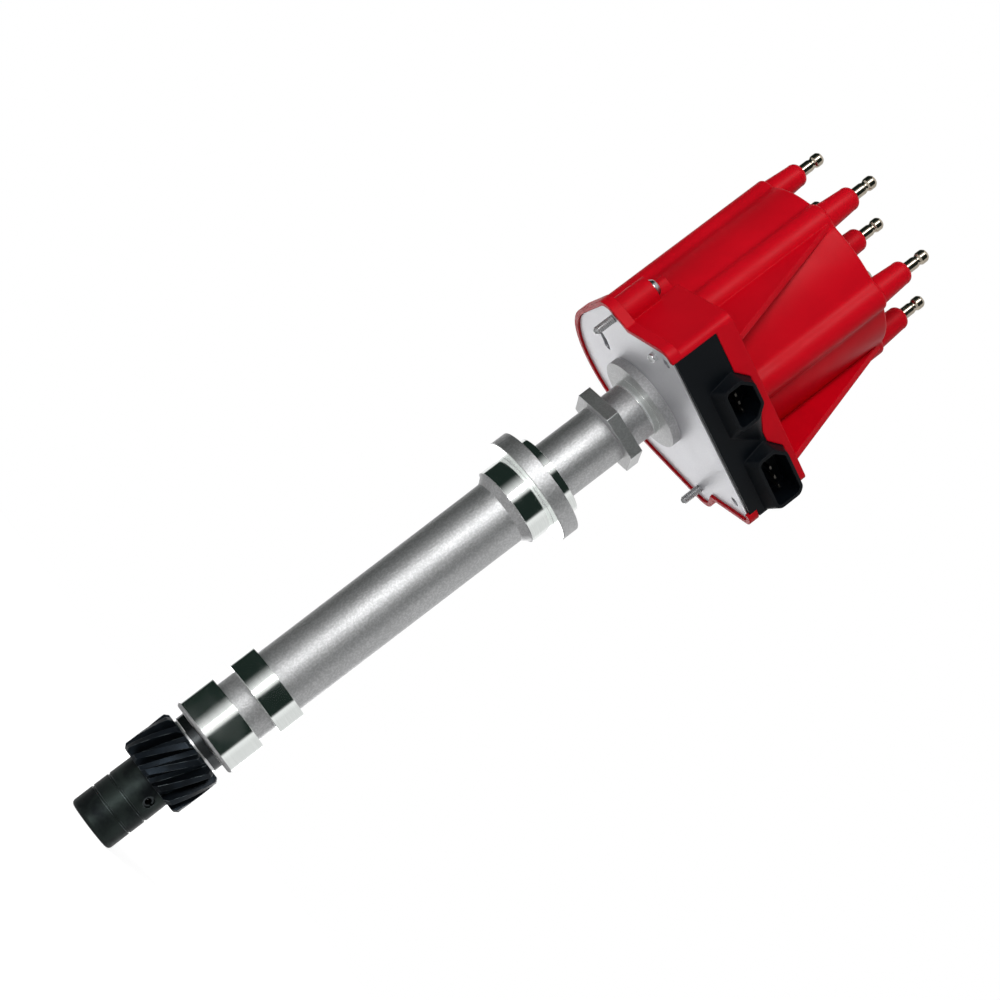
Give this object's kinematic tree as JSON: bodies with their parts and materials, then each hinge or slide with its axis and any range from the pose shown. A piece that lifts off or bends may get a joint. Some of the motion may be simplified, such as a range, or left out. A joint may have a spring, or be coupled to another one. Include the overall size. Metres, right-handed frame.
{
  "type": "ignition distributor",
  "caption": "Engine ignition distributor: tapered-tower cap over a base plate with side ignition module, slim shaft housing with flange and sealing rings, helical drive gear below.",
  "frame": {"origin": "centre of the mounting flange's underside, on the shaft's axis", "axes": "+Z along the shaft towards the cap's towers, -Y straight out of the ignition module, +X to the right when facing the module"},
  "size_m": [0.1054, 0.0955, 0.3833],
  "materials": {
    "cast_aluminium": "fine blasted casting with machined bands",
    "bare_aluminium": "rolled sheet",
    "bronze": "sintered, oiled",
    "zinc_steel": "zinc plated",
    "bright_steel": "ground bright",
    "dark_steel": "hardened, dark",
    "black_oxide_steel": "black oxide, satin",
    "ferrite": "bonded magnet",
    "black_nylon": "glass filled moulding",
    "copper_wire": "enamelled winding",
    "wire_jacket": "soft jacket",
    "tinned_brass": "tin plated",
    "terminal_brass": "turned, bright",
    "red_cap": "glossy moulding",
    "rotor_moulding": "moulded thermoset",
    "carbon": "pressed carbon"
  },
  "bodies": {
    "distributor": {"housing": "cast_aluminium", "lower_bushing": "bronze", "upper_bushing": "bronze", "pickup_plate": "zinc_steel", "pickup_magnet": "ferrite", "coil_bobbin": "black_nylon", "coil_winding": "copper_wire", "pole_piece": "zinc_steel", "pickup_clip": "dark_steel", "pickup_leads": "wire_jacket", "pickup_plug": "black_nylon", "ignition_module": "black_nylon", "module_base_plate": "bare_aluminium", "module_screws": "zinc_steel", "module_dowel": "bright_steel", "main_connector_pins": "tinned_brass", "timing_connector_pins": "tinned_brass", "cap": "red_cap", "cap_screws": "bright_steel", "plug_posts": "terminal_brass", "coil_post": "terminal_brass", "button_spring": "bright_steel"},
    "rotating_assembly": {"shaft": "bright_steel", "drive_gear": "black_oxide_steel", "gear_pin": "dark_steel", "thrust_washer": "dark_steel", "shim_washer": "bright_steel", "timer_core": "dark_steel", "rotor_body": "rotor_moulding", "rotor_segment": "terminal_brass", "rotor_spring": "bright_steel", "rotor_screws": "zinc_steel"},
    "button": {"coil_button": "carbon"}
  },
  "joints": [
    {"name": "shaft_spin", "type": "hinge", "parent": "distributor", "child": "rotating_assembly", "pos_m": [0, 0, 0], "axis": [0, 0, 1], "continuous": true},
    {"name": "button_plunge", "type": "slide", "parent": "distributor", "child": "button", "axis": [0, 0, 1], "range_m": [0, 0.0015], "stiffness_N_per_m": 200, "deforming": ["button_spring"]}
  ]
}
